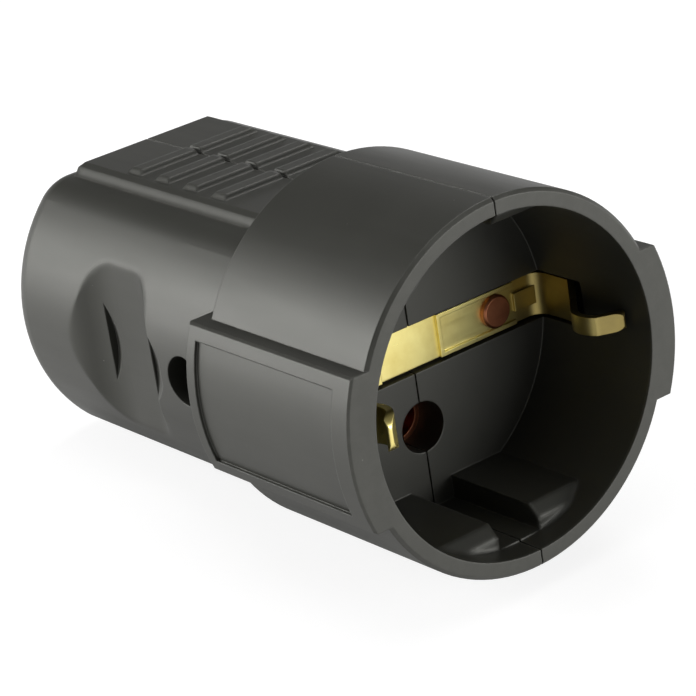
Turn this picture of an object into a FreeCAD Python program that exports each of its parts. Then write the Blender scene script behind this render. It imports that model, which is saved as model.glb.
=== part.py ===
import FreeCAD, Part
import os
import re
import Sketcher
from FreeCAD import Rotation, Vector

# An inline mains socket: two moulded half shells that part on the plane Y = 0, with the
# earth strip, the two pin contacts, the cord clamp and their screws held between them.
# The origin is the centre of the socket mouth, +X points out of the mouth, +Z is up and
# -Y is the near half. Lengths named depth, station or length run back from the mouth.

SIZES = {
    # socket mouth and the drum around it
    "mouth_radius": 19.75,
    "recess_depth": 18.3,
    "base_wall": 4.5,
    "drum_radius": 21.75,
    "drum_length": 28.0,
    "drum_rear_bevel": 0.7,
    "rim_bevel": 0.4,
    "pin_offset": 9.5,
    "pin_hole_radius": 3.05,
    # polarity guides at the top and bottom of the recess
    "guide_depth": 3.5,
    "guide_half_gap": 3.0,
    "guide_level": 16.7,
    "guide_lead": 1.4,
    # side plates that give room for the earth arms
    "plate_rise": 1.75,
    "plate_half_height": 9.0,
    "plate_length": 29.1,
    "plate_border": 1.7,
    "plate_front_border": 2.9,
    "plate_sink": 0.4,
    "plate_bevel": 0.25,
    # handle
    "handle_half_width": 20.5,
    "handle_half_height": 15.9,
    "handle_side_radius": 20.1,
    "handle_corner_radius": 6.0,
    "handle_length": 70.0,
    "handle_round": 3.5,
    "shell_wall": 2.6,
    "parting_gap": 0.1,
    # ribbed flats above and below the handle
    "flat_height": 17.3,
    "flat_half_width": 9.7,
    "flat_flare": 1.3,
    "flat_length": 65.9,
    "flat_bevel": 0.5,
    "rib_first": 38.9,
    "rib_pitch": 5.6,
    "rib_count": 4,
    "rib_foot": 2.8,
    "rib_top": 1.8,
    "rib_height": 0.55,
    "rib_reach": 8.7,
    "rib_slope": 0.5,
    "rib_gap": 0.3,
    # finger grips
    "grip_depth": 2.85,
    "grip_floor_rear": 49.9,
    "grip_floor_front": 45.0,
    "grip_rear_radius": 8.0,
    "grip_front_radius": 4.0,
    "grip_blend": 0.25,
    "notch_bow": 12.2,
    "notch_run": 2.5,
    "notch_slope": 24,
    "rear_notch_station": 52.5,
    "rear_notch_depth": 3.5,
    "front_notch_station": 41.3,
    "front_notch_depth": 1.3,
    "grip_back_half_height": 9.8,
    # housing screw, its boss and its nut
    "screw_station": 34.2,
    "screw_radius": 1.7,
    "screw_hole_radius": 1.85,
    "screw_head_radius": 2.75,
    "screw_head_height": 2.2,
    "screw_head_bevel": 0.55,
    "screw_seat": 8.0,
    "screw_recess_radius": 3.05,
    "boss_radius": 5.0,
    "nut_seat": 8.0,
    "nut_width": 5.5,
    "nut_height": 2.4,
    # earth strip
    "strip_thickness": 0.8,
    "strip_width": 5.2,
    "strip_groove": 1.6,
    "strip_clearance": 0.3,
    "strip_bend": 2.2,
    "arm_span": 20.6,
    "arm_knee": 13.4,
    "arm_shoulder": 1.8,
    "arm_room": 1.0,
    "arm_lip": 11.1,
    "contact_half_length": 1.8,
    "contact_rise": 0.6,
    "far_arm_width": 2.2,
    "far_contact_depth": 7.0,
    "far_contact_span": 15.7,
    "far_tip_depth": 3.8,
    "far_tip_span": 18.9,
    "far_tip_round": 0.6,
    "near_arm_width": 4.4,
    "near_contact_depth": 4.6,
    "near_contact_span": 14.9,
    "near_tip_depth": 2.2,
    "near_tip_span": 16.4,
    "near_tip_round": 1.6,
    "channel_start": 4.4,
    "channel_edge": 0.5,
    "channel_height": 0.4,
    "bead_half_width": 1.1,
    # earth rivet and terminal
    "rivet_radius": 1.4,
    "rivet_head_radius": 2.0,
    "rivet_head_height": 0.8,
    "rivet_head_bevel": 0.25,
    "rivet_tail_height": 0.7,
    "rivet_edge": 2.9,
    "fit": 0.06,
    "tab_thickness": 1.2,
    "tab_margin": 2.0,
    "earth_block_near": 3.6,
    "earth_block_far": 10.4,
    "earth_block_length": 6.0,
    "earth_block_half_height": 3.0,
    # pin contacts
    "sleeve_radius": 3.1,
    "sleeve_bore": 2.45,
    "sleeve_length": 12.0,
    "sleeve_slit": 0.8,
    "block_length": 9.0,
    "block_half_width": 3.2,
    "block_floor": 1.6,
    "wire_bore": 1.5,
    "clip_thickness": 0.5,
    "clip_length": 2.2,
    "clip_inset": 0.6,
    "clip_mouth": 2.4,
    # terminal screws
    "terminal_radius": 1.4,
    "terminal_head_radius": 2.5,
    "terminal_head_height": 1.8,
    "terminal_head_bevel": 0.45,
    "terminal_grip": 0.4,
    "slot_width": 0.8,
    "slot_depth": 0.9,
    # webs that cradle the contacts
    "web_inset": 4.0,
    "web_thickness": 2.2,
    "web_half_slot": 4.6,
    "cradle_clearance": 0.15,
    # cord entry and clamp
    "entry_radius": 4.5,
    "clamp_inset": 11.0,
    "clamp_level": 3.8,
    "clamp_half_length": 11.0,
    "clamp_width": 6.0,
    "clamp_thickness": 2.5,
    "clamp_round": 2.0,
    "clamp_ridge": 0.8,
    "clamp_screw_span": 8.0,
    "clamp_post_radius": 2.6,
    "clamp_screw_length": 7.0,
    "saddle_level": 4.4,
    "saddle_half_width": 4.8,
    "saddle_thickness": 3.0,
    "saddle_root": 0.65,
}

# Sizes that follow from others
PLATE_RADIUS = "(drum_radius + plate_rise)"
CHAMBER_FRONT = "(recess_depth + base_wall)"
TAB_REACH = "(handle_half_width - shell_wall - tab_margin)"
RIVET_SPAN = f"({TAB_REACH} - rivet_edge)"
CLAMP_STATION = "(handle_length - clamp_inset)"

NEAR = -1
FAR = 1
HALF_TURN = 180
FULL_TURN = 360
SAME_LENGTH = 0.01

doc = FreeCAD.newDocument("InlineSocket")
sheet = doc.addObject("Spreadsheet::Sheet", "Sizes")
for row, (size_name, size_value) in enumerate(SIZES.items(), start=1):
    sheet.set(f"A{row}", size_name)
    sheet.set(f"B{row}", str(size_value))
    sheet.setAlias(f"B{row}", size_name)
doc.recompute()


def formula(text):
    """Turn the plain size names in a text into references to the sheet."""

    def reference(word):
        return f"Sizes.{word[0]}" if word[0] in SIZES else word[0]

    return re.sub(r"[a-z_]+", reference, text)


def number(text):
    """What a formula of size names comes to."""
    return float(sheet.evalExpression(formula(text)))


def bind(sketch, kind, geometry, point, text):
    """Constrain one point or curve of a sketch to a formula."""
    if point is None:
        constraint = Sketcher.Constraint(kind, geometry, number(text))
    else:
        constraint = Sketcher.Constraint(kind, geometry, point, number(text))
    index = sketch.addConstraint(constraint)
    sketch.setExpression(f"Constraints[{index}]", formula(text))


def add_circle(sketch, across, up, radius):
    centre = Vector(number(across), number(up), 0)
    circle = sketch.addGeometry(Part.Circle(centre, Vector(0, 0, 1), number(radius)))
    bind(sketch, "DistanceX", circle, 3, across)
    bind(sketch, "DistanceY", circle, 3, up)
    bind(sketch, "Radius", circle, None, radius)


def arc_between(start, end, radius, turn):
    """The short arc from start to end, turn 1 for anticlockwise and -1 for clockwise."""
    chord = end - start
    rise = (radius ** 2 - (chord.Length / 2) ** 2) ** 0.5
    left = Vector(-chord.y, chord.x, 0).normalize()
    centre = (start + end) / 2 + left * rise * turn
    circle = Part.Circle(centre, Vector(0, 0, 1), radius)
    first, last = (start, end) if turn > 0 else (end, start)
    return Part.ArcOfCircle(circle, circle.parameter(first), circle.parameter(last))


def add_outline(sketch, corners, closed=True):
    """A chain of lines and arcs. A corner is (across, up), or (across, up, radius, turn)
    where the edge that leaves it is an arc."""
    spots = [Vector(number(corner[0]), number(corner[1]), 0) for corner in corners]
    edges = []
    count = len(corners) if closed else len(corners) - 1
    for index in range(count):
        corner = corners[index]
        start = spots[index]
        end = spots[(index + 1) % len(spots)]
        if len(corner) == 2:
            edge = sketch.addGeometry(Part.LineSegment(start, end))
            edges.append((edge, 1, 2))
        else:
            radius, turn = corner[2:]
            edge = sketch.addGeometry(arc_between(start, end, number(radius), turn))
            edges.append((edge, 1, 2) if turn > 0 else (edge, 2, 1))
            bind(sketch, "Radius", edge, None, radius)
        bind(sketch, "DistanceX", edge, edges[-1][1], corner[0])
        bind(sketch, "DistanceY", edge, edges[-1][1], corner[1])
    if not closed:
        bind(sketch, "DistanceX", edges[-1][0], edges[-1][2], corners[-1][0])
        bind(sketch, "DistanceY", edges[-1][0], edges[-1][2], corners[-1][1])
    for index in range(count if closed else count - 1):
        this_edge = edges[index]
        next_edge = edges[(index + 1) % count]
        joint = Sketcher.Constraint("Coincident", this_edge[0], this_edge[2], next_edge[0], next_edge[1])
        sketch.addConstraint(joint)


def to_side(plane, corner, side):
    """Mirror a corner that is drawn for the far side."""
    across, up = corner[:2]
    if side == FAR or plane == "XZ":
        return corner
    if plane == "YZ":
        across = f"-({across})"
    else:
        up = f"-({up})"
    if len(corner) == 4:
        return (across, up, corner[2], -corner[3])
    return (across, up)


def draw(body, name, plane, outlines=(), circles=(), station="0", side=FAR):
    """A sketch on one of the body's own planes, moved by station along the plane's normal."""
    sketch = body.newObject("Sketcher::SketchObject", f"{body.Name}_{name}_sketch")
    support = next(f for f in body.Origin.OriginFeatures if f.Role == f"{plane}_Plane")
    sketch.AttachmentSupport = [(support, "")]
    sketch.MapMode = "FlatFace"
    sketch.setExpression("AttachmentOffset.Base.z", formula(station))
    for outline in outlines:
        add_outline(sketch, [to_side(plane, corner, side) for corner in outline])
    for circle in circles:
        add_circle(sketch, *circle)
    return sketch


def extrude(body, kind, name, sketch, length, forward):
    """A pad or pocket of a sketch, along its normal where forward, both ways where None."""
    feature = body.newObject(f"PartDesign::{kind}", f"{body.Name}_{name}")
    feature.Profile = sketch
    feature.setExpression("Length", formula(length))
    if forward is None:
        feature.SideType = "Symmetric"
    else:
        feature.Reversed = forward != (kind == "Pad")
    doc.recompute()
    return feature


def pad(body, name, sketch, length, forward=True):
    return extrude(body, "Pad", name, sketch, length, forward)


def pocket(body, name, sketch, length, forward=False):
    before = body.Shape.Volume
    feature = extrude(body, "Pocket", name, sketch, length, forward)
    if body.Shape.Volume >= before:
        raise RuntimeError(f"{feature.Name} cuts nothing")
    return feature


def revolve(body, name, sketch, angle, backwards=False):
    feature = body.newObject("PartDesign::Revolution", f"{body.Name}_{name}")
    feature.Profile = sketch
    feature.ReferenceAxis = (sketch, ["H_Axis"])
    feature.Angle = angle
    feature.Reversed = backwards
    doc.recompute()
    return feature


def dress(body, kind, name, size, wanted):
    """A fillet or chamfer on the edges of the body's last feature that pass a test."""
    base = body.Tip
    picked = [f"Edge{i}" for i, edge in enumerate(base.Shape.Edges, start=1) if wanted(edge)]
    if not picked:
        raise RuntimeError(f"{body.Name} has no edge for {name}")
    feature = body.newObject(f"PartDesign::{kind}", f"{body.Name}_{name}")
    feature.Base = (base, picked)
    feature.setExpression("Radius" if kind == "Fillet" else "Size", formula(size))
    doc.recompute()
    return feature


def new_body(label):
    body = doc.addObject("PartDesign::Body", label)
    body.Label = label
    return body


def place(body, x="0", y="0", z="0", turn=None):
    """Set a body's place from formulas and its turn about one axis."""
    if turn:
        body.Placement.Rotation = Rotation(*turn)
    for axis, text in zip("xyz", (x, y, z)):
        body.setExpression(f"Placement.Base.{axis}", formula(text))


def close_to(value, text):
    return abs(value - number(text)) < SAME_LENGTH


def oval(inset):
    """The handle's half section: level top, corner arc and side arc that run into each other."""
    side_centre = "(handle_half_width - handle_side_radius)"
    corner_up = "(handle_half_height - handle_corner_radius)"
    between = "(handle_side_radius - handle_corner_radius)"
    run = f"sqrt({between} ^ 2 - {corner_up} ^ 2)"
    side = f"(handle_side_radius - {inset})"
    return {
        "side_centre": side_centre,
        "side": side,
        "corner": f"(handle_corner_radius - {inset})",
        "top": f"(handle_half_height - {inset})",
        "corner_out": f"({side_centre} + {run})",
        "meet": (f"({side_centre} + {side} * {run} / {between})", f"({side} * {corner_up} / {between})"),
    }


def oval_outline(inset):
    arcs = oval(inset)
    meet_out, meet_up = arcs["meet"]
    return [
        ("0", arcs["top"]),
        (arcs["corner_out"], arcs["top"], arcs["corner"], -1),
        (meet_out, meet_up, arcs["side"], -1),
        (meet_out, f"-{meet_up}", arcs["corner"], -1),
        (arcs["corner_out"], f"-{arcs['top']}"),
        ("0", f"-{arcs['top']}"),
    ]


def mirror_up(outline):
    """The same outline below the level plane, with its arcs turning the other way."""
    flipped = []
    for corner in outline:
        turned = (corner[0], f"-({corner[1]})")
        if len(corner) == 4:
            turned += (corner[2], -corner[3])
        flipped.append(turned)
    return flipped


def shell_drum(body, side):
    """Drum around the mouth, turned through half a circle, with the side plate on it."""
    profile = [
        ("0", "0"),
        ("0", "drum_radius - rim_bevel"),
        ("-rim_bevel", "drum_radius"),
        ("drum_rear_bevel - drum_length", "drum_radius"),
        ("-drum_length", "drum_radius - drum_rear_bevel"),
        ("-drum_length", "0"),
    ]
    sketch = draw(body, "drum", "XZ", [profile])
    revolve(body, "drum", sketch, HALF_TURN, backwards=side == FAR)
    edge_out = f"sqrt({PLATE_RADIUS} ^ 2 - plate_half_height ^ 2)"
    plate = [
        ("handle_half_width - shell_wall", "plate_half_height"),
        (edge_out, "plate_half_height", PLATE_RADIUS, -1),
        (edge_out, "-plate_half_height"),
        ("handle_half_width - shell_wall", "-plate_half_height"),
    ]
    sketch = draw(body, "plate", "YZ", [plate], side=side)
    pad(body, "plate", sketch, "plate_length", forward=False)

    def plate_rim(edge):
        box = edge.BoundBox
        lengthwise = box.XLength > number("plate_length / 2") and close_to(abs(box.YMin), edge_out)
        arc = box.XLength < SAME_LENGTH and close_to(box.ZLength, "2 * plate_half_height")
        arc = arc and abs(box.YMin + box.YMax) / 2 > number("drum_radius")
        return lengthwise or arc

    dress(body, "Chamfer", "plate_bevel", "plate_bevel", plate_rim)
    panel_height = "(plate_half_height - plate_border)"
    floor = f"({PLATE_RADIUS} - plate_sink)"
    outside = f"({PLATE_RADIUS} + plate_sink)"
    panel = [
        (f"sqrt({floor} ^ 2 - {panel_height} ^ 2)", f"-{panel_height}", floor, 1),
        (f"sqrt({floor} ^ 2 - {panel_height} ^ 2)", panel_height),
        (f"sqrt({outside} ^ 2 - {panel_height} ^ 2)", panel_height, outside, -1),
        (f"sqrt({outside} ^ 2 - {panel_height} ^ 2)", f"-{panel_height}"),
    ]
    sketch = draw(body, "panel", "YZ", [panel], station="-plate_front_border", side=side)
    pocket(body, "panel", sketch, "plate_length - plate_front_border - plate_border")


def shell_handle(body, side):
    """Handle with flattened top and bottom, its rounded rear end and the two ribbed flats."""
    sketch = draw(body, "handle", "YZ", [oval_outline("0")], station="-recess_depth", side=side)
    pad(body, "handle", sketch, "handle_length - recess_depth", forward=False)

    def rear_rim(edge):
        box = edge.BoundBox
        at_rear = close_to(-box.XMin, "handle_length") and close_to(-box.XMax, "handle_length")
        return at_rear and box.YLength > SAME_LENGTH

    dress(body, "Fillet", "rear_round", "handle_round", rear_rim)
    root = "(handle_half_height - handle_round - shell_wall)"
    foot = "(flat_half_width + flat_flare)"
    flat = [
        ("0", root),
        (foot, root),
        (foot, "handle_half_height - flat_bevel"),
        ("flat_half_width", "flat_height"),
        ("0", "flat_height"),
    ]
    front = "(drum_length - drum_rear_bevel)"
    sketch = draw(body, "flats", "YZ", [flat, mirror_up(flat)], station=f"-{front}", side=side)
    pad(body, "flats", sketch, f"flat_length - {front}", forward=False)

    def flat_rim(edge):
        box = edge.BoundBox
        level = close_to(abs(box.ZMin), "flat_height") and close_to(abs(box.ZMax), "flat_height")
        outer = close_to(abs(box.YMin), "flat_half_width") and close_to(abs(box.YMax), "flat_half_width")
        rear = close_to(-box.XMin, "flat_length") and close_to(-box.XMax, "flat_length")
        return level and (outer or rear)

    dress(body, "Chamfer", "flat_bevel", "flat_bevel", flat_rim)
    ribs = []
    for index in range(int(number("rib_count"))):
        middle = f"-(rib_first + {index} * rib_pitch)"
        rib = [
            (f"{middle} - rib_foot / 2", "flat_height - flat_bevel"),
            (f"{middle} - rib_foot / 2", "flat_height"),
            (f"{middle} - rib_top / 2", "flat_height + rib_height"),
            (f"{middle} + rib_top / 2", "flat_height + rib_height"),
            (f"{middle} + rib_foot / 2", "flat_height"),
            (f"{middle} + rib_foot / 2", "flat_height - flat_bevel"),
        ]
        ribs += [rib, mirror_up(rib)]
    sketch = draw(body, "ribs", "XZ", ribs, station=f"{-side} * rib_gap")
    pad(body, "ribs", sketch, "rib_reach - rib_gap", forward=side == NEAR)

    def rib_end(edge):
        box = edge.BoundBox
        crest = close_to(abs(box.ZMin), "flat_height + rib_height") and box.ZLength < SAME_LENGTH
        return crest and close_to(abs(box.YMin), "rib_reach") and close_to(abs(box.YMax), "rib_reach")

    dress(body, "Chamfer", "rib_slope", "rib_slope", rib_end)


def shell_grip(body, side):
    """Finger scoop in the handle's side, with thicker wall behind it, one bowed notch across its
    rear slope and another in front of it."""
    floor = "(handle_half_width - grip_depth)"
    back = [
        ("-grip_floor_rear - grip_rear_radius", f"{floor} - shell_wall"),
        ("-grip_floor_front + grip_front_radius", f"{floor} - shell_wall"),
        ("-grip_floor_front + grip_front_radius", f"{floor} + grip_blend"),
        ("-grip_floor_rear - grip_rear_radius", f"{floor} + grip_blend"),
    ]
    sketch = draw(body, "grip_back", "XY", [back], side=side)
    pad(body, "grip_back", sketch, "2 * grip_back_half_height", forward=None)
    skin = "(handle_half_width + grip_blend)"
    clear = "(handle_half_width + grip_depth)"
    half_rise = "((grip_depth + grip_blend) / 2)"
    rear_run = f"sqrt(grip_rear_radius ^ 2 - (grip_rear_radius - {half_rise}) ^ 2)"
    front_run = f"sqrt(grip_front_radius ^ 2 - (grip_front_radius - {half_rise}) ^ 2)"
    scoop = [
        ("-grip_floor_rear", floor),
        ("-grip_floor_front", floor, "grip_front_radius", 1),
        (f"-grip_floor_front + {front_run}", f"{floor} + {half_rise}", "grip_front_radius", -1),
        (f"-grip_floor_front + 2 * {front_run}", skin),
        (f"-grip_floor_front + 2 * {front_run}", clear),
        (f"-grip_floor_rear - 2 * {rear_run}", clear),
        (f"-grip_floor_rear - 2 * {rear_run}", skin, "grip_rear_radius", -1),
        (f"-grip_floor_rear - {rear_run}", f"{floor} + {half_rise}", "grip_rear_radius", 1),
    ]
    sketch = draw(body, "scoop", "XY", [scoop], side=side)
    pocket(body, "scoop", sketch, "2 * handle_half_height", forward=None)
    for name in ("rear_notch", "front_notch"):
        bow = [(f"{side} * (handle_half_width - {name}_depth + notch_bow)", "0", "notch_bow")]
        sketch = draw(body, name, "YZ", circles=bow, station=f"-{name}_station")
        notch = pocket(body, name, sketch, "notch_run", forward=True)
        notch.setExpression("TaperAngle", formula("-notch_slope"))
        doc.recompute()


def shell_recess(body, side):
    """Round plug recess with its guides, the strip's groove and the two pin holes."""
    sketch = draw(body, "mouth", "YZ", circles=[("0", "0", "mouth_radius")])
    pocket(body, "mouth", sketch, "guide_depth")
    gap_up = "sqrt(mouth_radius ^ 2 - guide_half_gap ^ 2)"
    guide_out = "sqrt(mouth_radius ^ 2 - guide_level ^ 2)"
    recess = [
        ("-parting_gap", gap_up),
        ("guide_half_gap", gap_up),
        ("guide_half_gap", "guide_level"),
        (guide_out, "guide_level", "mouth_radius", -1),
        (guide_out, "-guide_level"),
        ("guide_half_gap", "-guide_level"),
        ("guide_half_gap", f"-{gap_up}"),
        ("-parting_gap", f"-{gap_up}"),
    ]
    sketch = draw(body, "recess", "YZ", [recess], station="-guide_depth", side=side)
    pocket(body, "recess", sketch, "recess_depth - guide_depth")

    def guide_lip(edge):
        box = edge.BoundBox
        front = close_to(-box.XMin, "guide_depth") and close_to(-box.XMax, "guide_depth")
        return front and close_to(abs(box.ZMin), "guide_level") and close_to(abs(box.ZMax), "guide_level")

    dress(body, "Chamfer", "guide_lead", "guide_lead", guide_lip)
    half_height = "(strip_width / 2 + strip_clearance)"
    groove = [
        ("-parting_gap", f"-{half_height}"),
        ("arm_span + arm_room", f"-{half_height}"),
        ("arm_span + arm_room", half_height),
        ("-parting_gap", half_height),
    ]
    sketch = draw(body, "groove", "YZ", [groove], station="-arm_lip", side=side)
    pocket(body, "groove", sketch, "recess_depth + strip_groove - arm_lip")
    pins = [("0", f"{sign} * pin_offset", "pin_hole_radius") for sign in (1, -1)]
    sketch = draw(body, "pins", "YZ", circles=pins, station="-recess_depth")
    pocket(body, "pins", sketch, "base_wall")


def shell_inside(body, side):
    """Wiring chamber behind the recess floor, the webs that cradle the contacts and the cord entry."""
    inner = oval_outline("shell_wall")
    sketch = draw(body, "chamber", "YZ", [inner], station=f"-{CHAMBER_FRONT}", side=side)
    pocket(body, "chamber", sketch, f"handle_length - shell_wall - {CHAMBER_FRONT}")
    arcs = oval("shell_wall / 2")
    meet_out, meet_up = arcs["meet"]
    slot_out = f"{arcs['side_centre']} + sqrt({arcs['side']} ^ 2 - web_half_slot ^ 2)"
    lobe = [
        ("0", "web_half_slot"),
        (slot_out, "web_half_slot", arcs["side"], 1),
        (meet_out, meet_up, arcs["corner"], 1),
        (arcs["corner_out"], arcs["top"]),
        ("0", arcs["top"]),
    ]
    front_web = f"({CHAMBER_FRONT} + web_inset)"
    rear_web = f"({CHAMBER_FRONT} + sleeve_length + block_length + cradle_clearance)"
    for name, station, hole in (
        ("front_web", front_web, "sleeve_radius + cradle_clearance"),
        ("rear_web", rear_web, "wire_bore + cradle_clearance"),
    ):
        sketch = draw(body, name, "YZ", [lobe, mirror_up(lobe)], station=f"-{station}", side=side)
        pad(body, name, sketch, "web_thickness", forward=False)
        holes = [("0", f"{sign} * pin_offset", hole) for sign in (1, -1)]
        sketch = draw(body, f"{name}_hole", "YZ", circles=holes, station=f"-{station}")
        pocket(body, f"{name}_hole", sketch, "web_thickness")
    entry = [("0", "0", "entry_radius")]
    sketch = draw(body, "entry", "YZ", circles=entry, station="-handle_length + shell_wall")
    pocket(body, "entry", sketch, "shell_wall")


def shell_boss(body, side):
    """Boss for the housing screw: a head recess in the near half, a nut pocket in the far half."""
    spot = ("-screw_station", "0")
    outward = side == NEAR
    sketch = draw(body, "boss", "XZ", circles=[(*spot, "boss_radius")])
    pad(body, "boss", sketch, "handle_half_width - shell_wall", forward=outward)
    sketch = draw(body, "bolt_hole", "XZ", circles=[(*spot, "screw_hole_radius")])
    pocket(body, "bolt_hole", sketch, "handle_half_width", forward=outward)
    if side == NEAR:
        recess = [(*spot, "screw_recess_radius")]
        sketch = draw(body, "head_recess", "XZ", circles=recess, station="screw_seat")
        pocket(body, "head_recess", sketch, "handle_half_width - screw_seat + grip_depth", forward=True)
        return
    half = "(nut_width / 2 + cradle_clearance)"
    square = [
        (f"-screw_station - {half}", f"-{half}"),
        (f"-screw_station + {half}", f"-{half}"),
        (f"-screw_station + {half}", half),
        (f"-screw_station - {half}", half),
    ]
    sketch = draw(body, "nut_pocket", "XZ", [square], station="-nut_seat")
    pocket(body, "nut_pocket", sketch, "handle_half_width - nut_seat + grip_depth", forward=False)


def shell_parting(body, side):
    """Take the parting face back by the width of the fine line between the halves."""
    sheet_out = [
        ("-handle_length - shell_wall", f"-{PLATE_RADIUS}"),
        ("shell_wall", f"-{PLATE_RADIUS}"),
        ("shell_wall", PLATE_RADIUS),
        ("-handle_length - shell_wall", PLATE_RADIUS),
    ]
    sketch = draw(body, "parting", "XZ", [sheet_out])
    pocket(body, "parting", sketch, "parting_gap", forward=side == NEAR)


def far_fittings(body):
    """Clamp posts and cord saddle, which stand up from the far half's wall, and the rivet's hole."""
    spots = [(f"-{CLAMP_STATION}", f"{sign} * clamp_screw_span") for sign in (1, -1)]
    posts = [(*spot, "clamp_post_radius") for spot in spots]
    post_top = "(clamp_screw_span + clamp_post_radius)"
    skin_at_post = f"handle_half_width - handle_side_radius + sqrt(handle_side_radius ^ 2 - {post_top} ^ 2)"
    sketch = draw(body, "posts", "XZ", circles=posts, station="clamp_level")
    pad(body, "posts", sketch, f"clamp_level + {skin_at_post} - cradle_clearance", forward=False)
    holes = [(*spot, "terminal_radius + fit") for spot in spots]
    sketch = draw(body, "post_holes", "XZ", circles=holes, station="clamp_level")
    pocket(body, "post_holes", sketch, "clamp_screw_length - clamp_thickness + fit")
    saddle = [
        (f"-{CLAMP_STATION} - saddle_thickness / 2", "-saddle_half_width"),
        (f"-{CLAMP_STATION} + saddle_thickness / 2", "-saddle_half_width"),
        (f"-{CLAMP_STATION} + saddle_thickness / 2", "saddle_half_width"),
        (f"-{CLAMP_STATION} - saddle_thickness / 2", "saddle_half_width"),
    ]
    sketch = draw(body, "saddle", "XZ", [saddle], station="-saddle_level")
    saddle_reach = "handle_half_width - shell_wall - saddle_level + saddle_root"
    pad(body, "saddle", sketch, saddle_reach, forward=False)
    rivet = [(RIVET_SPAN, "0", "rivet_radius + fit")]
    sketch = draw(body, "rivet", "YZ", circles=rivet, station="-recess_depth")
    pocket(body, "rivet", sketch, "base_wall")


def make_shell(label, side):
    body = new_body(label)
    shell_drum(body, side)
    shell_handle(body, side)
    shell_recess(body, side)
    shell_inside(body, side)
    shell_grip(body, side)
    shell_boss(body, side)
    shell_parting(body, side)
    if side == FAR:
        far_fittings(body)
    return body


def arm_corners(arm):
    """Half of the strip's mid-line: from the tip of one arm, over its contact bulge, to the floor."""
    middle = "(recess_depth + strip_groove - strip_thickness / 2)"
    wall = "(arm_span - strip_thickness / 2)"
    bulge = "(contact_half_length ^ 2 + contact_rise ^ 2) / (2 * contact_rise)"
    return [
        (f"-{arm}_tip_depth", f"{arm}_tip_span"),
        (f"-{arm}_contact_depth + contact_half_length", f"{arm}_contact_span + contact_rise", bulge, -1),
        (f"-{arm}_contact_depth - contact_half_length", f"{arm}_contact_span + contact_rise"),
        ("-arm_knee", wall),
        (f"-{middle} + strip_bend", wall, "strip_bend", 1),
        (f"-{middle}", f"{wall} - strip_bend"),
    ]


def make_earth_strip():
    """Brass strip bent from one flat blank: across the floor, forward along the walls, in to
    the contact bulges and out again at the tips."""
    face = "(recess_depth + strip_groove - strip_thickness)"
    path = arm_corners("far")
    near_end = arm_corners("near")
    arcs = [corner[2:] for corner in near_end]
    for index in reversed(range(len(near_end))):
        across, up = near_end[index][:2]
        path.append((across, f"-({up})") + (arcs[index - 1] if index else ()))
    line = doc.addObject("Sketcher::SketchObject", "strip_line")
    add_outline(line, path, closed=False)
    doc.recompute()
    skin = doc.addObject("Part::Offset2D", "strip_skin")
    skin.Source = line
    skin.Mode = "Pipe"
    skin.Join = "Arc"
    skin.Fill = True
    skin.setExpression("Value", formula("strip_thickness / 2"))
    doc.recompute()
    blank = doc.addObject("Part::Extrusion", "strip_blank")
    blank.Base = skin
    blank.DirMode = "Normal"
    blank.Solid = True
    blank.Symmetric = True
    blank.setExpression("LengthFwd", formula("strip_width"))
    doc.recompute()
    body = new_body("earth_strip")
    body.BaseFeature = blank
    doc.recompute()
    for arm in ("far", "near"):
        tip = f"({arm}_tip_depth - strip_thickness / 2)"
        tip_round = f"{arm}_tip_round"
        narrow = [
            ("-arm_knee", "strip_width"),
            ("-arm_knee", "strip_width / 2"),
            ("-arm_knee + arm_shoulder", f"{arm}_arm_width / 2"),
            (f"-{tip} - {tip_round}", f"{arm}_arm_width / 2", tip_round, -1),
            (f"-{tip}", f"{arm}_arm_width / 2 - {tip_round}"),
            ("0", f"{arm}_arm_width / 2 - {tip_round}"),
            ("0", "strip_width"),
        ]
        sketch = draw(body, f"{arm}_arm", "XZ", [narrow, mirror_up(narrow)])
        pocket(body, f"{arm}_arm", sketch, PLATE_RADIUS, forward=arm == "near")
    long_edge = [
        ("channel_start", "strip_width / 2"),
        (TAB_REACH, "strip_width / 2"),
        (TAB_REACH, "strip_width / 2 - channel_edge"),
        ("channel_start + channel_edge", "strip_width / 2 - channel_edge"),
        ("channel_start + channel_edge", "channel_edge - strip_width / 2"),
        (TAB_REACH, "channel_edge - strip_width / 2"),
        (TAB_REACH, "-strip_width / 2"),
        ("channel_start", "-strip_width / 2"),
    ]
    bead = [
        (TAB_REACH, "-bead_half_width"),
        ("arm_span - strip_thickness", "-bead_half_width"),
        ("arm_span - strip_thickness", "bead_half_width"),
        (TAB_REACH, "bead_half_width"),
    ]
    for name, outline in (("channel", long_edge), ("bead", bead)):
        for side in (NEAR, FAR):
            side_name = f"{name}_{'near' if side == NEAR else 'far'}"
            sketch = draw(body, side_name, "YZ", [outline], station=f"-{face}", side=side)
            pad(body, side_name, sketch, "channel_height")
    hole = [(RIVET_SPAN, "0", "rivet_radius + fit")]
    sketch = draw(body, "rivet_hole", "YZ", circles=hole, station=f"-{face}")
    pocket(body, "rivet_hole", sketch, "strip_thickness")
    return body


def make_earth_rivet():
    """Rivet through the strip, the recess floor and the terminal's tab, with a bevelled head in front."""
    body = new_body("earth_rivet")
    length = "(strip_thickness + base_wall - strip_groove + tab_thickness)"
    profile = [
        ("rivet_head_height", "0"),
        ("rivet_head_height", "rivet_head_radius - rivet_head_bevel"),
        ("rivet_head_height - rivet_head_bevel", "rivet_head_radius"),
        ("0", "rivet_head_radius"),
        ("0", "rivet_radius"),
        (f"-{length}", "rivet_radius"),
        (f"-{length}", "rivet_head_radius"),
        (f"-{length} - rivet_tail_height", "rivet_head_radius"),
        (f"-{length} - rivet_tail_height", "0"),
    ]
    revolve(body, "turned", draw(body, "turned", "XY", [profile]), FULL_TURN)
    place(body, x="strip_thickness - recess_depth - strip_groove", y=RIVET_SPAN)
    return body


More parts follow.
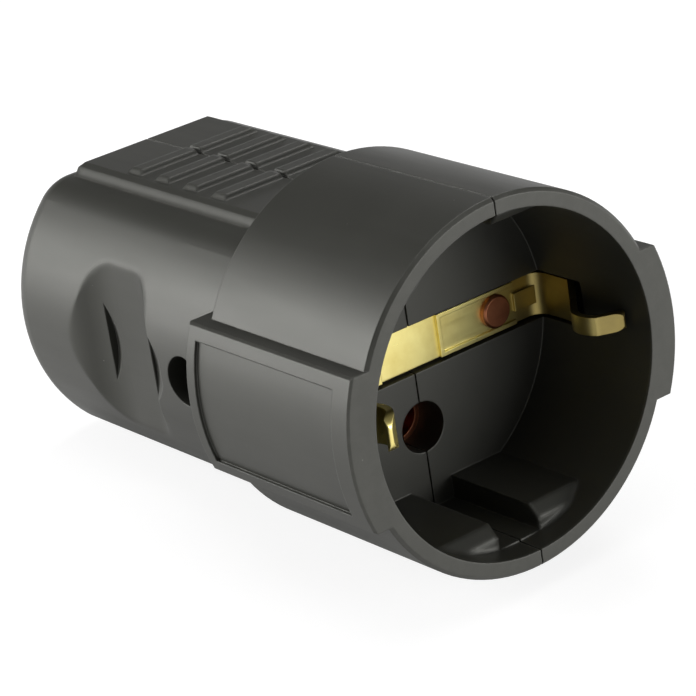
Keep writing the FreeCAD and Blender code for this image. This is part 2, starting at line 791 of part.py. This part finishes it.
def make_earth_terminal():
    """Terminal block beside the axis, bored from top to bottom for the conductor, with the tab
    that the rivet holds to the floor."""
    body = new_body("earth_terminal")
    half = "earth_block_half_height"
    block = [
        ("0", f"-{half}"),
        ("earth_block_far - earth_block_near", f"-{half}"),
        ("earth_block_far - earth_block_near", half),
        ("0", half),
    ]
    pad(body, "block", draw(body, "block", "YZ", [block]), "earth_block_length", forward=False)
    tab = [
        ("0", f"-{half}"),
        (f"{TAB_REACH} - earth_block_near", f"-{half}"),
        (f"{TAB_REACH} - earth_block_near", half),
        ("0", half),
    ]
    pad(body, "tab", draw(body, "tab", "YZ", [tab]), "tab_thickness", forward=False)
    hole = [(f"{RIVET_SPAN} - earth_block_near", "0", "rivet_radius + fit")]
    pocket(body, "rivet_hole", draw(body, "rivet_hole", "YZ", circles=hole), "tab_thickness")
    station = "-(earth_block_length + tab_thickness) / 2"
    wire = [(station, "(earth_block_far - earth_block_near) / 2", "wire_bore")]
    pocket(body, "wire", draw(body, "wire", "XY", circles=wire), f"2 * {half}", forward=None)
    screw = [(station, "0", "terminal_radius + fit")]
    sketch = draw(body, "screw_hole", "XZ", circles=screw)
    pocket(body, "screw_hole", sketch, "(earth_block_far - earth_block_near) / 2")
    place(body, x=f"-{CHAMBER_FRONT}", y="earth_block_near")
    return body


def make_contact(label, sign):
    """Slit pin sleeve that runs into a square terminal block, with a bore for the conductor."""
    body = new_body(label)
    sleeve = [("0", "0", "sleeve_radius")]
    pad(body, "sleeve", draw(body, "sleeve", "YZ", circles=sleeve), "sleeve_length", forward=False)
    half = "block_half_width"
    block = [(f"-{half}", f"-{half}"), (half, f"-{half}"), (half, half), (f"-{half}", half)]
    sketch = draw(body, "block", "YZ", [block], station="-sleeve_length")
    pad(body, "block", sketch, "block_length", forward=False)
    pocket(body, "bore", draw(body, "bore", "YZ", circles=[("0", "0", "sleeve_bore")]), "sleeve_length")
    slit = [
        ("-sleeve_slit / 2", "-sleeve_radius - sleeve_slit"),
        ("sleeve_slit / 2", "-sleeve_radius - sleeve_slit"),
        ("sleeve_slit / 2", "sleeve_radius + sleeve_slit"),
        ("-sleeve_slit / 2", "sleeve_radius + sleeve_slit"),
    ]
    pocket(body, "slit", draw(body, "slit", "YZ", [slit]), "sleeve_length - sleeve_radius")
    wire = [("0", "0", "wire_bore")]
    sketch = draw(body, "wire", "YZ", circles=wire, station="-sleeve_length - block_length")
    pocket(body, "wire", sketch, "block_length - block_floor", forward=True)
    screw = [("-sleeve_length - block_length / 2", "0", "terminal_radius + fit")]
    sketch = draw(body, "screw_hole", "XZ", circles=screw)
    pocket(body, "screw_hole", sketch, "block_half_width", forward=True)
    place(body, x=f"-{CHAMBER_FRONT}", z=f"{sign} * pin_offset")
    return body


def make_contact_clip(label, sign):
    """Open spring ring round the pin sleeve."""
    body = new_body(label)
    inner = "(sleeve_radius + fit)"
    outer = "(sleeve_radius + fit + clip_thickness)"
    pad(body, "ring", draw(body, "ring", "YZ", circles=[("0", "0", outer)]), "clip_length", forward=False)
    pocket(body, "bore", draw(body, "bore", "YZ", circles=[("0", "0", inner)]), "clip_length")
    mouth = [
        ("0", "-clip_mouth / 2"),
        (f"2 * {outer}", "-clip_mouth / 2"),
        (f"2 * {outer}", "clip_mouth / 2"),
        ("0", "clip_mouth / 2"),
    ]
    pocket(body, "mouth", draw(body, "mouth", "YZ", [mouth]), "clip_length")
    place(body, x=f"-{CHAMBER_FRONT} - clip_inset", z=f"{sign} * pin_offset")
    return body


def make_screw(label, length, family):
    """Cheese head screw along +X, seated on X = 0 with its shank behind it, slotted across the head."""
    body = new_body(label)
    radius = f"{family}_radius"
    head_radius = f"{family}_head_radius"
    head_height = f"{family}_head_height"
    head_bevel = f"{family}_head_bevel"
    profile = [
        (f"-({length})", "0"),
        (head_height, "0"),
        (head_height, f"{head_radius} - {head_bevel}"),
        (f"{head_height} - {head_bevel}", head_radius),
        ("0", head_radius),
        ("0", radius),
        (f"{radius} / 2 - ({length})", radius),
        (f"-({length})", f"{radius} / 2"),
    ]
    revolve(body, "turned", draw(body, "turned", "XY", [profile]), FULL_TURN)
    slot = [
        (f"{head_height} - slot_depth", "-slot_width / 2"),
        (f"2 * {head_height}", "-slot_width / 2"),
        (f"2 * {head_height}", "slot_width / 2"),
        (f"{head_height} - slot_depth", "slot_width / 2"),
    ]
    sketch = draw(body, "slot", "XZ", [slot])
    pocket(body, "slot", sketch, f"2 * {head_radius} + slot_width", forward=None)
    return body


FROM_NEAR_SIDE = (Vector(0, 0, 1), -90)


def make_housing_screw():
    length = "screw_seat + nut_seat + nut_height"
    body = make_screw("housing_screw", length, "screw")
    place(body, x="-screw_station", y="-screw_seat", turn=FROM_NEAR_SIDE)
    return body


def make_housing_nut():
    """Square nut at the bottom of the far half's pocket."""
    body = new_body("housing_nut")
    half = "nut_width / 2"
    square = [(f"-{half}", f"-{half}"), (half, f"-{half}"), (half, half), (f"-{half}", half)]
    pad(body, "block", draw(body, "block", "XZ", [square]), "nut_height", forward=False)
    bore = [("0", "0", "screw_radius + fit")]
    pocket(body, "bore", draw(body, "bore", "XZ", circles=bore), "nut_height")
    place(body, x="-screw_station", y="nut_seat")
    return body


def make_terminal_screw(label, x, y, z, reach):
    body = make_screw(label, reach, "terminal")
    place(body, x=x, y=y, z=z, turn=FROM_NEAR_SIDE)
    return body


def make_cord_clamp():
    """Bar with a ridge that bears on the cord's jacket, and a hole for a screw at each end."""
    body = new_body("cord_clamp")
    bar = [
        ("-clamp_width / 2", "-clamp_half_length"),
        ("clamp_width / 2", "-clamp_half_length"),
        ("clamp_width / 2", "clamp_half_length"),
        ("-clamp_width / 2", "clamp_half_length"),
    ]
    pad(body, "bar", draw(body, "bar", "XZ", [bar]), "clamp_thickness")

    def end_corner(edge):
        return close_to(edge.BoundBox.YLength, "clamp_thickness")

    dress(body, "Fillet", "ends", "clamp_round", end_corner)
    ridge = [
        ("-saddle_thickness / 2", "-saddle_half_width"),
        ("saddle_thickness / 2", "-saddle_half_width"),
        ("saddle_thickness / 2", "saddle_half_width"),
        ("-saddle_thickness / 2", "saddle_half_width"),
    ]
    pad(body, "ridge", draw(body, "ridge", "XZ", [ridge]), "clamp_ridge", forward=False)
    holes = [("0", f"{sign} * clamp_screw_span", "terminal_radius + fit") for sign in (1, -1)]
    pocket(body, "holes", draw(body, "holes", "XZ", circles=holes), "clamp_thickness", forward=True)
    place(body, x=f"-{CLAMP_STATION}", y="-clamp_level")
    return body


def make_clamp_screws():
    """The clamp's two equal screws as one group."""
    pair = []
    for name, sign in (("upper", 1), ("lower", -1)):
        screw = make_terminal_screw(
            f"clamp_screw_{name}",
            f"-{CLAMP_STATION}",
            "-clamp_level - clamp_thickness",
            f"{sign} * clamp_screw_span",
            "clamp_screw_length",
        )
        pair.append(screw)
    group = doc.addObject("Part::Compound", "cord_clamp_screws")
    group.Links = pair
    group.Label = "cord_clamp_screws"
    return group


def check_document():
    for item in doc.Objects:
        if "Invalid" in item.State or "Error" in item.State:
            raise RuntimeError(f"{item.Name} failed: {item.State}")


block_screw_x = f"-{CHAMBER_FRONT} - sleeve_length - block_length / 2"
block_screw_reach = "block_half_width - terminal_grip"
NODES = [
    make_shell("near_shell", NEAR),
    make_shell("far_shell", FAR),
    make_earth_strip(),
    make_earth_rivet(),
    make_earth_terminal(),
    make_terminal_screw(
        "earth_terminal_screw",
        f"-{CHAMBER_FRONT} - (earth_block_length + tab_thickness) / 2",
        "earth_block_near",
        "0",
        "(earth_block_far - earth_block_near) / 2 - terminal_grip",
    ),
    make_housing_screw(),
    make_housing_nut(),
    make_cord_clamp(),
    make_clamp_screws(),
]
for place_name, up in (("upper", 1), ("lower", -1)):
    NODES.append(make_contact(f"{place_name}_contact", up))
    NODES.append(make_contact_clip(f"{place_name}_contact_clip", up))
    level = f"{up} * pin_offset"
    screw = make_terminal_screw(
        f"{place_name}_terminal_screw", block_screw_x, "-block_half_width", level, block_screw_reach
    )
    NODES.append(screw)

doc.recompute()
check_document()
os.makedirs("parts", exist_ok=True)
for node in NODES:
    if node.Shape.isNull() or not node.Shape.isValid():
        raise RuntimeError(f"{node.Label} has no valid shape")
    node.Shape.exportStep(f"parts/{node.Label}.step")
    print(node.Label, len(node.Shape.Solids), round(node.Shape.Volume, 1), node.Shape.BoundBox)
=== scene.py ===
import bpy
from mathutils import Matrix, Vector

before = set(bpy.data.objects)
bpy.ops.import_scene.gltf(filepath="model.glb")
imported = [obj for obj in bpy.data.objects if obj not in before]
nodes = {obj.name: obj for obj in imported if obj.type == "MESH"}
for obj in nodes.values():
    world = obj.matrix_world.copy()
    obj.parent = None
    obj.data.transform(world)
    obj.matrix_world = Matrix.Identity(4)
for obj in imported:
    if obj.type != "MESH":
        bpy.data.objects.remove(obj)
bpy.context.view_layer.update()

MM = 0.001
scene = bpy.context.scene

# Softened edges, in millimetres
FINE_RADIUS = 0.22
WIDE_RADIUS = 1.4
EDGE_WEAR_AND_HIGHLIGHT_RADIUS = 0.26
METAL_RADIUS = 0.12

# Finger scoops: limits along the axis, aside of the parting plane and in height, in millimetres
SCOOP_ALONG = (-64, -38)
SCOOP_ASIDE = (12, 30)
PAST_NOTCHES = (6.5, 30)
BEHIND_NOTCHES = (-64, -56)
SCOOP_BLUR = 1

# Other soft edges: limits and blur along, aside and in height, and their share of the wide radius
SOFT_ZONES = {
    "foot of the flats": ((-66, -28.5), 0.3, (9.9, 12.2), 0.3, (14, 17), 0.3, 1.0),
    "ribs": ((-66, -28.5), 0.3, (-1, 9.2), 0.3, (17.33, 18.2), 0.03, 0.28),
    "lips of the guides": ((-6, -2.8), 0.2, (-1, 12), 0.3, (15, 19.4), 0.2, 0.7),
}

# Rim lightened by scuffing and painted light, in millimetres along the axis, and the strip's painted
# shade, across the strip
RIM_ALONG = (-0.35, 1)
RIM_BLUR = 0.1
STRIP_SHADED_SPAN = (14, 40)
STRIP_SHADED_BLUR = 2.5

# Lighter colour for the edges: partly wear, partly a painted highlight
EDGE_WEAR_AND_HIGHLIGHT_COLOUR = (0.1, 0.1, 0.09, 1)
DUST_COLOUR = (0.2, 0.2, 0.18, 1)
# Colour of the painted shade on the far end of the strip, like tarnish
STRIP_SHADE_COLOUR = (0.14, 0.095, 0.032, 1)
WHITE = (1, 1, 1, 1)


# Node helpers

def node_adder(tree):
    """A short way to add nodes to a tree, with their inputs linked or set."""
    def add(kind, inputs=None, **settings):
        node = tree.nodes.new(kind)
        for key, value in settings.items():
            setattr(node, key, value)
        for key, value in (inputs or {}).items():
            if isinstance(value, bpy.types.NodeSocket):
                tree.links.new(value, node.inputs[key])
            else:
                node.inputs[key].default_value = value
        return node

    return add


def new_material(name):
    """A principled material, its shader, and short ways to add and link nodes in it."""
    material = bpy.data.materials.new(name)
    material.use_nodes = True
    tree = material.node_tree
    return material, tree.nodes["Principled BSDF"], node_adder(tree), tree.links.new


def ramp(add, factor, stops):
    """A colour ramp over stops of (position, colour)."""
    node = add("ShaderNodeValToRGB", {"Fac": factor})
    bands = node.color_ramp
    while len(bands.elements) < len(stops):
        bands.elements.new(0.5)
    for band, (position, colour) in zip(bands.elements, stops):
        band.position = position
        band.color = (*colour, 1.0)
    return node.outputs["Color"]


def spread(add, factor, low, high):
    """A factor from 0 to 1 spread over another range."""
    node = add("ShaderNodeMapRange", {"Value": factor, "To Min": low, "To Max": high})
    return node.outputs["Result"]


def rising(add, value, start, end):
    """A factor that goes from 0 to 1 as a value goes from start to end."""
    node = add("ShaderNodeMapRange", {"Value": value, "From Min": start, "From Max": end})
    return node.outputs["Result"]


def noise(add, where, scale, detail=2.0, roughness=0.5):
    inputs = {"Vector": where, "Scale": scale, "Detail": detail, "Roughness": roughness}
    return add("ShaderNodeTexNoise", inputs).outputs["Fac"]


def place_of(add, stretch=(1.0, 1.0, 1.0)):
    """Object coordinates, which are the part's frame in metres, stretched along the axes."""
    where = add("ShaderNodeTexCoord").outputs["Object"]
    return add("ShaderNodeMapping", {"Vector": where, "Scale": stretch}).outputs["Vector"]


def axes_of(add, where):
    return add("ShaderNodeSeparateXYZ", {0: where}).outputs


def math_node(add, operation, *values):
    return add("ShaderNodeMath", dict(enumerate(values)), operation=operation).outputs[0]


def multiply(add, first, second):
    return math_node(add, "MULTIPLY", first, second)


def larger(add, first, second):
    return math_node(add, "MAXIMUM", first, second)


def within(add, value, limits, blur):
    """A factor of 1 where a value lies between two limits in millimetres, with blurred ends."""
    low = limits[0] * MM
    high = limits[1] * MM
    blur = blur * MM
    rise = rising(add, value, low - blur, low + blur)
    fall = rising(add, value, high + blur, high - blur)
    return multiply(add, rise, fall)


def mixed(add, factor, first, second):
    """One colour socket faded into another colour by a factor."""
    node = add("ShaderNodeMix", {0: factor, 6: first, 7: second}, data_type="RGBA")
    return node.outputs[2]


def softened(add, radius, samples):
    """Surface normal with the edges rounded off."""
    return add("ShaderNodeBevel", {"Radius": radius}, samples=samples).outputs["Normal"]


def bumped(add, height, strength, distance, normal):
    inputs = {"Strength": strength, "Distance": distance, "Height": height, "Normal": normal}
    return add("ShaderNodeBump", inputs).outputs["Normal"]


# Moulded plastic

def edge_radius(add, where):
    """Radius of the softened edges: fine all over, wider on the ribs, the guides' lips and the foot
    of the flats, and widest round the borders of the finger scoops."""
    axes = axes_of(add, where)
    along = axes["X"]
    aside = math_node(add, "ABSOLUTE", axes["Y"])
    height = math_node(add, "ABSOLUTE", axes["Z"])
    sides = within(add, aside, SCOOP_ASIDE, SCOOP_BLUR)
    scoop = multiply(add, within(add, along, SCOOP_ALONG, SCOOP_BLUR), sides)
    past_notches = within(add, height, PAST_NOTCHES, SCOOP_BLUR)
    behind_notches = within(add, along, BEHIND_NOTCHES, SCOOP_BLUR)
    border = multiply(add, scoop, larger(add, past_notches, behind_notches))
    for span, span_blur, width, width_blur, level, level_blur, share in SOFT_ZONES.values():
        zone = multiply(add, within(add, along, span, span_blur), within(add, aside, width, width_blur))
        zone = multiply(add, zone, within(add, height, level, level_blur))
        border = larger(add, border, multiply(add, zone, share))
    return spread(add, border, FINE_RADIUS * MM, WIDE_RADIUS * MM)


def edge_wear_and_highlight(add, patches):
    """A factor along the edges, broken up into patches, for edges lightened partly by wear and partly by
    a painted highlight.
    """
    rounded = softened(add, EDGE_WEAR_AND_HIGHLIGHT_RADIUS * MM, 6)
    true = add("ShaderNodeNewGeometry").outputs["Normal"]
    facing = add("ShaderNodeVectorMath", {0: rounded, 1: true}, operation="DOT_PRODUCT").outputs["Value"]
    return multiply(add, rising(add, facing, 0.995, 0.93), patches)


def dust_specks(add, where):
    """A factor on a few small dots."""
    cells = add("ShaderNodeTexVoronoi", {"Vector": where, "Scale": 300.0})
    speck = rising(add, cells.outputs["Distance"], 0.035, 0.02)
    chance = add("ShaderNodeSeparateColor", {0: cells.outputs["Color"]}).outputs[0]
    rare = math_node(add, "GREATER_THAN", chance, 0.86)
    return multiply(add, multiply(add, speck, rare), 0.6)


def moulded_plastic(name, dark, light, rim_scuff_and_light, roughness):
    """Satin moulded plastic: fine grain, flow streaks, edges lightened by wear and a painted highlight,
    a rim lightened by scuffing and painted light, and a little dust.
    """
    material, shader, add, link = new_material(name)
    where = place_of(add)
    colour = ramp(add, noise(add, where, 90.0, 4.0), [(0.3, dark), (0.7, light)])
    patches = ramp(add, noise(add, where, 420.0, 3.0, 0.6), [(0.38, (0.1, 0.1, 0.1)), (0.62, (1, 1, 1))])
    # Painted light: the front face of the rim is lightened in patches, partly as scuffing and partly
    # standing in for the light that it catches
    rim = within(add, axes_of(add, where)["X"], RIM_ALONG, RIM_BLUR)
    rim = multiply(add, rim, spread(add, patches, 0.6, 1.0))
    colour = mixed(add, rim, colour, (*rim_scuff_and_light, 1))
    # Painted highlight: edges are lightened in patches, partly as wear and partly standing in for the
    # highlights that they catch
    colour = mixed(add, multiply(add, edge_wear_and_highlight(add, patches), 0.7), colour, EDGE_WEAR_AND_HIGHLIGHT_COLOUR)
    link(mixed(add, dust_specks(add, where), colour, DUST_COLOUR), shader.inputs["Base Color"])
    flow = noise(add, place_of(add, (60.0, 420.0, 420.0)), 1.0, 3.0)
    link(spread(add, flow, roughness - 0.05, roughness + 0.06), shader.inputs["Roughness"])
    grain = noise(add, where, 2600.0, 3.0, 0.6)
    soft_edge = softened(add, edge_radius(add, where), 8)
    link(bumped(add, grain, 0.12, 0.03 * MM, soft_edge), shader.inputs["Normal"])
    shader.inputs["IOR"].default_value = 1.58
    shader.inputs["Specular Tint"].default_value = (1.0, 1.0, 0.93, 1)
    return material


# Metals

def rolled_metal(name, deep, bright, roughness, grain_stretch, shaded_span=None):
    """Rolled sheet or drawn bar: fine lines along the rolling direction and faint tarnish, and, between
    two places across the part where they are given, painted shade in a tarnish colour with a duller
    finish."""
    material, shader, add, link = new_material(name)
    where = place_of(add)
    tarnish = noise(add, where, 160.0, 4.0, 0.6)
    colour = ramp(add, tarnish, [(0.32, deep), (0.62, bright)])
    lines = noise(add, place_of(add, grain_stretch), 1.0, 3.0, 0.6)
    rough = spread(add, lines, roughness - 0.08, roughness + 0.1)
    # Painted shade: between the given places across the part, the strip is darkened to a tarnish colour
    # and made duller
    if shaded_span is not None:
        shade_and_dull = within(add, axes_of(add, where)["Y"], shaded_span, STRIP_SHADED_BLUR)
        shade_and_dull = multiply(add, shade_and_dull, spread(add, tarnish, 0.6, 1.0))
        colour = mixed(add, shade_and_dull, colour, STRIP_SHADE_COLOUR)
        rough = math_node(add, "ADD", rough, multiply(add, shade_and_dull, 0.12))
    link(colour, shader.inputs["Base Color"])
    link(rough, shader.inputs["Roughness"])
    soft_edge = softened(add, METAL_RADIUS * MM, 6)
    link(bumped(add, lines, 0.05, 0.02 * MM, soft_edge), shader.inputs["Normal"])
    shader.inputs["Metallic"].default_value = 1.0
    return material


def dress(material, *names):
    """Give nodes a material."""
    for name in names:
        slots = nodes[name].data.materials
        slots.clear()
        slots.append(material)


casing = moulded_plastic(
    "casing", dark=(0.021, 0.0212, 0.0175), light=(0.027, 0.0272, 0.0225),
    rim_scuff_and_light=(0.055, 0.055, 0.048), roughness=0.46,
)
clamp = moulded_plastic(
    "clamp_plastic", dark=(0.03, 0.03, 0.028), light=(0.04, 0.04, 0.037),
    rim_scuff_and_light=(0.07, 0.07, 0.065), roughness=0.5,
)
strip = rolled_metal(
    "strip_brass", deep=(0.8, 0.66, 0.22), bright=(0.96, 0.85, 0.34),
    roughness=0.3, grain_stretch=(900.0, 120.0, 2400.0), shaded_span=STRIP_SHADED_SPAN,
)
rivet = rolled_metal(
    "rivet_copper", deep=(0.2, 0.07, 0.035), bright=(0.36, 0.14, 0.07),
    roughness=0.38, grain_stretch=(900.0, 900.0, 900.0),
)
sleeve = rolled_metal(
    "contact_brass", deep=(0.4, 0.14, 0.07), bright=(0.6, 0.24, 0.13),
    roughness=0.34, grain_stretch=(150.0, 1500.0, 1500.0),
)
steel = rolled_metal(
    "screw_steel", deep=(0.4, 0.4, 0.4), bright=(0.56, 0.56, 0.55),
    roughness=0.32, grain_stretch=(1200.0, 300.0, 1200.0),
)
spring = rolled_metal(
    "spring_steel", deep=(0.3, 0.3, 0.31), bright=(0.45, 0.45, 0.47),
    roughness=0.28, grain_stretch=(200.0, 1600.0, 1600.0),
)
dress(casing, "near_shell", "far_shell")
dress(clamp, "cord_clamp")
dress(strip, "earth_strip")
dress(rivet, "earth_rivet")
dress(sleeve, "upper_contact", "lower_contact", "earth_terminal")
dress(steel, "housing_screw", "housing_nut", "cord_clamp_screws")
dress(steel, "earth_terminal_screw", "upper_terminal_screw", "lower_terminal_screw")
dress(spring, "upper_contact_clip", "lower_contact_clip")


# Camera at the photograph's viewing angle, with its place in millimetres

CAMERA_PLACE = (241.52, -192.6, 131.0)
CAMERA_RIGHT = (0.61798, 0.77292, -0.14387)
CAMERA_FORWARD = (-0.75757, 0.53649, -0.37183)
CAMERA_SENSOR = 36.0
CAMERA_LENS = 160.6


def add_camera():
    forward = Vector(CAMERA_FORWARD).normalized()
    up = Vector(CAMERA_RIGHT).cross(forward).normalized()
    right = forward.cross(up)
    data = bpy.data.cameras.new("camera")
    data.sensor_width = CAMERA_SENSOR
    data.lens = CAMERA_LENS
    data.clip_start = 0.05
    data.clip_end = 20.0
    camera = bpy.data.objects.new("camera", data)
    scene.collection.objects.link(camera)
    turn = Matrix((right, up, -forward)).transposed().to_4x4()
    camera.matrix_world = Matrix.Translation(Vector(CAMERA_PLACE) * MM) @ turn
    scene.camera = camera


# Floor that the part rests on: the drum's lower edge and the rear edge of the lower flat, in millimetres

DRUM_EDGE = (-27.3, 0.0, -21.75)
FLAT_EDGE = (-65.4, 0.0, -17.3)
FLOOR_REACH = 6.0
FLOOR_GLOW = 0.83
FLOOR_SHADE_REACH = 35


def floor_frame():
    """A point on the floor and its normal, from the two lines of the part that touch it."""
    drum_edge = Vector(DRUM_EDGE) * MM
    along = (drum_edge - Vector(FLAT_EDGE) * MM).normalized()
    normal = along.cross(Vector((0.0, 1.0, 0.0))).normalized()
    if normal.z < 0:
        normal = -normal
    return drum_edge, normal


def floor_material():
    """White paper that keeps shadows: what is seen directly or mirrored has some light of its own, which
    in mirrors is darkened near the part by a painted contact shadow.
    """
    material, shader, add, link = new_material("floor_paper")
    fibre = noise(add, place_of(add), 900.0, 3.0)
    paper = ramp(add, fibre, [(0.3, (0.33, 0.33, 0.33)), (0.7, (0.35, 0.35, 0.35))])
    link(paper, shader.inputs["Base Color"])
    shader.inputs["Roughness"].default_value = 0.95
    shader.inputs["Specular IOR Level"].default_value = 0.0
    path = add("ShaderNodeLightPath").outputs
    shade = {"Distance": FLOOR_SHADE_REACH * MM}
    # Painted shadow: ambient occlusion darkens the floor's own light near the part, where it is mirrored
    open_sky = add("ShaderNodeAmbientOcclusion", shade, samples=8).outputs["AO"]
    seen = larger(add, path["Is Camera Ray"], path["Is Transmission Ray"])
    seen = larger(add, seen, multiply(add, path["Is Glossy Ray"], open_sky))
    glow = add("ShaderNodeEmission", {"Color": WHITE, "Strength": multiply(add, seen, FLOOR_GLOW)})
    both = add("ShaderNodeAddShader", {0: shader.outputs[0], 1: glow.outputs[0]})
    link(both.outputs[0], material.node_tree.nodes["Material Output"].inputs["Surface"])
    return material


def add_floor():
    spot, normal = floor_frame()
    corners = [(x * FLOOR_REACH, y * FLOOR_REACH, 0) for x, y in ((-1, -1), (1, -1), (1, 1), (-1, 1))]
    mesh = bpy.data.meshes.new("floor")
    mesh.from_pydata(corners, [], [(0, 1, 2, 3)])
    floor = bpy.data.objects.new("floor", mesh)
    scene.collection.objects.link(floor)
    turn = normal.to_track_quat("Z", "X").to_matrix().to_4x4()
    floor.matrix_world = Matrix.Translation(spot) @ turn
    mesh.materials.append(floor_material())


# Studio light

SURROUND_STRENGTH = 0.14
BACKDROP_TOP = 0.28
BACKDROP_FADE = 0.12
MIDDLE = (-32, 0, 0)

# Soft boxes: place, width and height in millimetres, and power in watts
SOFTBOXES = {
    "key_box": ((-317, -344, 138), 280, 290, 1.95),
    "front_box": ((430, 260, 45), 420, 150, 1.25),
    "top_box": ((60, -40, 560), 420, 420, 0.8),
    "far_top_box": ((-150, 270, 410), 160, 160, 0.55),
}


def add_world():
    """Dim even surround, with a white backdrop up to just above the horizon where it is seen."""
    world = bpy.data.worlds.new("studio")
    world.use_nodes = True
    world.node_tree.nodes.clear()
    add = node_adder(world.node_tree)
    path = add("ShaderNodeLightPath").outputs
    seen = larger(add, path["Is Camera Ray"], path["Is Glossy Ray"])
    seen = larger(add, seen, path["Is Transmission Ray"])
    height = axes_of(add, add("ShaderNodeTexCoord").outputs["Generated"])["Z"]
    white = multiply(add, seen, rising(add, height, BACKDROP_TOP, BACKDROP_FADE))
    dim = add("ShaderNodeBackground", {"Color": WHITE, "Strength": SURROUND_STRENGTH})
    backdrop = add("ShaderNodeBackground", {"Color": WHITE, "Strength": 1.0})
    mix = add("ShaderNodeMixShader", {"Fac": white, 1: dim.outputs[0], 2: backdrop.outputs[0]})
    add("ShaderNodeOutputWorld", {"Surface": mix.outputs[0]})
    scene.world = world


def add_softbox(name, place, width, height, power):
    """A rectangular area lamp, turned to the middle of the part."""
    data = bpy.data.lights.new(name, "AREA")
    data.shape = "RECTANGLE"
    data.size = width * MM
    data.size_y = height * MM
    data.energy = power
    lamp = bpy.data.objects.new(name, data)
    scene.collection.objects.link(lamp)
    place = Vector(place) * MM
    away = place - Vector(MIDDLE) * MM
    lamp.matrix_world = Matrix.Translation(place) @ away.to_track_quat("Z", "Y").to_matrix().to_4x4()


add_camera()
add_floor()
add_world()
for box_name, (box_place, box_width, box_height, box_power) in SOFTBOXES.items():
    add_softbox(box_name, box_place, box_width, box_height, box_power)

scene.view_settings.view_transform = "Standard"
